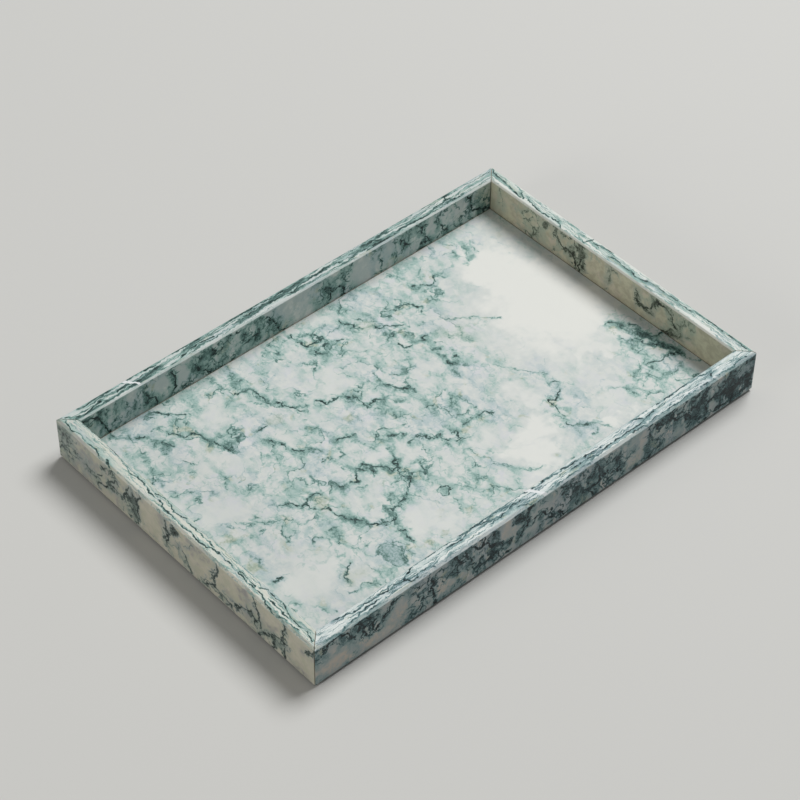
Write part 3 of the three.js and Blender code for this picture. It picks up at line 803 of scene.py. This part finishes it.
def marble(name, slab, stone):
    """Pale marble with green haze and veins on its faces, and threads along its cut edges."""
    material, graph, shader = new_material(name)
    at = Places(graph, slab, stone["seed"])
    sway = graph.push(at.beds, size=20.0, reach=stone["sway"], detail=3.0)
    clean_map = patches(graph, graph.shift(at.soft_face, sway), stone["clean"])
    broad = graph.lumps(at.bent, size=26.0)
    colour = ground_colour(graph, at, stone, clean_map, broad)
    amount = face_green(graph, at, stone, graph.rest(clean_map))
    greens = stone["greens"]

    # Cut edges and bevels, by how far the surface faces up or down the slab
    if "threads" in stone:
        _, up, *_ = slab
        normal = graph.add("ShaderNodeTexCoord").outputs["Normal"]
        facing = graph.math("ABSOLUTE", graph.dot(normal, up))
        on_edge = graph.span(facing, none=0.45, full=0.85)
        off_face = graph.span(facing, none=0.3, full=0.6)
        on_bevel = graph.times(off_face, graph.span(facing, none=0.97, full=0.8))
        # Painted highlight: the bevels are whitened towards chalk and cleared of green, as if light caught
        # them
        painted_bevel_highlight = graph.times(on_bevel, stone["painted_bevel_highlight"])
        threads = graph.times(edge_green(graph, at, stone), on_edge)
        amount = graph.screen(graph.times(amount, graph.rest(graph.times(on_edge, EDGE_COVER))), threads)
        amount = graph.times(amount, graph.rest(painted_bevel_highlight))
        colour = graph.mix(graph.larger(graph.times(on_edge, stone["chalk"]), painted_bevel_highlight), colour, CHALK)
        greens = [graph.mix(on_edge, *pair) for pair in zip(greens, stone["edge_greens"])]

    colour = green_colour(graph, at, stone, broad, colour, greens, amount)
    if "quartz" in stone:
        to_band, _ = route_distances(graph, at.edge, stone["quartz"])
        band = graph.span(to_band, none=stone["band"], full=stone["band"] * BAND_CORE)
        colour = graph.mix(graph.times(band, on_edge), colour, QUARTZ)
    graph.feed(shader, {"Base Color": colour})
    honed_skin(graph, at, shader)
    return material


def dress(node, material):
    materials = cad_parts[node].data.materials
    materials.clear()
    materials.append(material)


X, Y, Z = Vector((1, 0, 0)), Vector((0, 1, 0)), Vector((0, 0, 1))

# Each stone's slab: which way its face runs, rises and goes in, and where its routes start from
SLABS = {
    "base_panel": (X, Y, -Z, Vector((0, 0, PANEL_TOP))),
    "rim_front": (X, Z, Y, Vector((0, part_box("rim_front")[0].y, RIM_TOP))),
    "rim_back": (X, Z, Y, Vector((0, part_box("rim_back")[0].y, RIM_TOP))),
    "rim_left": (-Y, Z, X, Vector((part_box("rim_left")[0].x, 0, RIM_TOP))),
    "rim_right": (-Y, Z, X, Vector((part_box("rim_right")[0].x, 0, RIM_TOP))),
}

# Each stone's looks, with lengths in millimetres and strengths that are full at about 1:
# its ground, with wash the least share of shade, pure how far clean stretches lose it, sway their edges;
# its haze, from noise that is sparse to dense, near veins (reach, haze, halo), between (mist), by depth;
# its veins, by half width (vein), core (dark), margin (skirt), breaks (steady), and finer (net, strands);
# its cut edges, by half width (thread), edge_haze, tint and streaks, whitened by chalk, and on the bevels
# by the strength of a painted highlight; and the half width of a quartz band
STRIP = dict(wash=0.1, pure=0.5, sway=12.0, sparse=0.33, dense=0.66, edge_greens=SEA_GREENS)
STONES = {
    "base_panel": dict(
        seed=(0, 0, 0), ground=WHITE, shade=MILK, blush_and_painted_shade=FROST, mottle=PEARL,
        greens=SEA_GREENS, wash=0.8, pure=1.0, sway=44.0, sparse=0.4, dense=0.66,
        reach=10.0, haze=0.7, halo=0.22, mist=0.58, depth=0.56,
        vein=0.95, dark=0.88, skirt=0.2, steady=0.4, net=0.76, strands=0.3,
        strong=PANEL_STRONG, soft=PANEL_SOFT, clouds=PANEL_CLOUDS, clean=PANEL_CLEAN,
        lenses=PANEL_LENSES, olive=PANEL_OLIVE,
    ),
    "rim_front": dict(
        STRIP, seed=(310, 40, 5), ground=WHITE, shade=MILK, blush_and_painted_shade=BUFF, mottle=MIST,
        greens=SLATE_GREENS, edge_greens=SLATE_GREENS, sparse=0.36, dense=0.6,
        reach=18.0, haze=0.7, halo=0.4, mist=0.5, depth=0.76,
        vein=1.15, dark=1.12, skirt=0.18, steady=0.55, net=1.0, strands=1.0,
        thread=0.8, edge_haze=0.4, tint=0.1, streaks=0.594, chalk=0.9, painted_bevel_highlight=0.3,
        strong=FRONT_STRONG, soft=FRONT_SOFT, clouds=FRONT_CLOUDS, clean=FRONT_CLEAN,
        blush_and_painted_shade_spots=FRONT_BUFF, threads=FRONT_THREADS, quartz=FRONT_QUARTZ, band=1.25,
    ),
    "rim_back": dict(
        STRIP, seed=(720, 90, 35), ground=WHITE, shade=MILK, blush_and_painted_shade=WHITE, mottle=MIST,
        greens=SEA_GREENS, reach=18.0, haze=0.7, halo=0.36, mist=0.25, depth=0.66,
        vein=1.1, dark=1.12, skirt=0.1, steady=0.36, net=1.0, strands=0.6,
        thread=0.95, edge_haze=0.8, tint=0.58, streaks=0.693, chalk=0.1, painted_bevel_highlight=0.6,
        strong=BACK_STRONG, soft=BACK_SOFT, clouds=BACK_CLOUDS, clean=BACK_CLEAN,
        olive=BACK_OLIVE, threads=BACK_THREADS, quartz=BACK_QUARTZ, band=0.75,
    ),
    "rim_left": dict(
        STRIP, seed=(150, 260, 71), ground=CREAM, shade=SAND, blush_and_painted_shade=ASH_AND_PAINTED_SHADE, mottle=STRAW,
        greens=SMOKE_GREENS, reach=9.0, haze=0.26, halo=0.12, mist=0.08, depth=0.8,
        vein=1.1, dark=0.84, skirt=0.14, steady=0.7, net=0.5, strands=0.65,
        thread=0.75, edge_haze=0.24, tint=0.1, streaks=0.495, chalk=0.35, painted_bevel_highlight=0.0,
        strong=LEFT_STRONG, soft=LEFT_SOFT, clouds=LEFT_CLOUDS, clean=LEFT_CLEAN,
        blush_and_painted_shade_spots=LEFT_PAINTED_SHADE, threads=LEFT_THREADS,
    ),
    # The right strip's ground, honey and lichen, is darkened as painted shade for its shaded inner face;
    # chalk takes its top back to pale stone
    "rim_right": dict(
        STRIP, seed=(530, 340, 19), ground=HONEY_PAINTED_SHADE, shade=LICHEN_PAINTED_SHADE, blush_and_painted_shade=ROSE, mottle=EARTH,
        greens=MOSS_GREENS, reach=12.0, haze=0.55, halo=0.24, mist=0.1, depth=0.8,
        vein=1.2, dark=0.96, skirt=0.08, steady=0.55, net=0.8, strands=0.7,
        thread=0.75, edge_haze=0.4, tint=0.18, streaks=0.495, chalk=0.8, painted_bevel_highlight=0.6,
        strong=RIGHT_STRONG, soft=RIGHT_SOFT, clouds=RIGHT_CLOUDS, clean=RIGHT_CLEAN,
        olive=RIGHT_OLIVE, threads=RIGHT_THREADS,
    ),
}
for node, stone in STONES.items():
    dress(node, marble(f"marble_{node}", SLABS[node], stone))


# Joints and pads
def mottled(name, light, dark, speck_size, blotch_size, smoothest, roughest, tooth_height):
    """A dull material of two near colours in blotches and specks, with a fine tooth."""
    material, graph, shader = new_material(name)
    place = graph.scale(graph.add("ShaderNodeTexCoord").outputs["Object"], 1 / MM)
    blotch = graph.lumps(place, blotch_size, detail=4.0)
    speck = graph.lumps(place, speck_size, roughness=0.65)
    by_blotch = graph.span(blotch, none=0.35, full=0.65, most=0.6)
    by_speck = graph.span(speck, none=0.4, full=0.65, most=0.4)
    colour = graph.mix(graph.math("ADD", by_blotch, by_speck), light, dark)
    roughness = graph.span(blotch, none=0.3, full=0.7, least=smoothest, most=roughest)
    tooth = graph.bump(speck, strength=0.5, distance=tooth_height)
    graph.feed(shader, {"Base Color": colour, "Roughness": roughness, "Normal": tooth})
    return material


resin = mottled(
    "joint_resin", RESIN_LIGHT, RESIN_DARK,
    speck_size=0.5, blotch_size=3.0, smoothest=0.42, roughest=0.6, tooth_height=0.08 * MM,
)
rubber = mottled(
    "pad_rubber", RUBBER_GREY, RUBBER_BLACK,
    speck_size=0.35, blotch_size=2.1, smoothest=0.7, roughest=0.9, tooth_height=0.1 * MM,
)
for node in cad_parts:
    if "seam" in node:
        dress(node, resin)
    if "pad" in node:
        dress(node, rubber)


# Camera
def make_camera():
    data = bpy.data.cameras.new("camera")
    data.lens = CAMERA_LENS
    data.sensor_width = CAMERA_SENSOR
    data.sensor_fit = "HORIZONTAL"
    camera = bpy.data.objects.new("camera", data)
    scene.collection.objects.link(camera)
    rim_middle = Vector((0, 0, RIM_TOP))
    camera.location = rim_middle + CAMERA_PLACE
    facing = (CAMERA_AIM - CAMERA_PLACE).to_track_quat("-Z", "Y")
    camera.rotation_mode = "QUATERNION"
    camera.rotation_quaternion = facing @ Quaternion((0, 0, 1), CAMERA_ROLL)
    scene.camera = camera


# Floor and light
def make_floor():
    """A floor that looks paler than the light that it throws back."""
    low, high = -FLOOR_HALF, FLOOR_HALF
    corners = [(low, low, 0), (high, low, 0), (high, high, 0), (low, high, 0)]
    mesh = bpy.data.meshes.new("floor")
    mesh.from_pydata(corners, [], [(0, 1, 2, 3)])
    floor = bpy.data.objects.new("floor", mesh)
    scene.collection.objects.link(floor)
    material, graph, shader = new_material("floor")
    rays = graph.add("ShaderNodeLightPath").outputs
    seen = graph.larger(rays["Is Camera Ray"], rays["Is Glossy Ray"])
    seen = graph.larger(seen, rays["Is Transmission Ray"])
    colour = graph.mix(seen, FLOOR_BOUNCE, FLOOR_SEEN)
    graph.feed(shader, {"Base Color": colour, "Roughness": FLOOR_ROUGHNESS})
    mesh.materials.append(material)


def make_lamp(name, place, width, watts, colour):
    """A round soft lamp that shines on the middle of the tray."""
    data = bpy.data.lights.new(name, "AREA")
    data.shape = "DISK"
    data.size = width
    data.energy = watts
    data.color = colour
    lamp = bpy.data.objects.new(name, data)
    lamp.location = place
    lamp.rotation_euler = (-Vector(place)).to_track_quat("-Z", "Y").to_euler()
    scene.collection.objects.link(lamp)


def make_world():
    world = bpy.data.worlds.new("studio")
    world.use_nodes = True
    background = world.node_tree.nodes["Background"]
    Graph(world.node_tree).feed(background, {"Color": WORLD_COLOUR, "Strength": WORLD_STRENGTH})
    scene.world = world


make_camera()
make_floor()
make_world()
make_lamp("key", place=(1.92, 0.2, 3.1), width=2.0, watts=118.0, colour=(1.0, 1.0, 1.0))
make_lamp("fill", place=(-1.9, 0.1, 0.7), width=0.9, watts=9.0, colour=(1.0, 0.96, 0.88))

scene.view_settings.view_transform = "Standard"
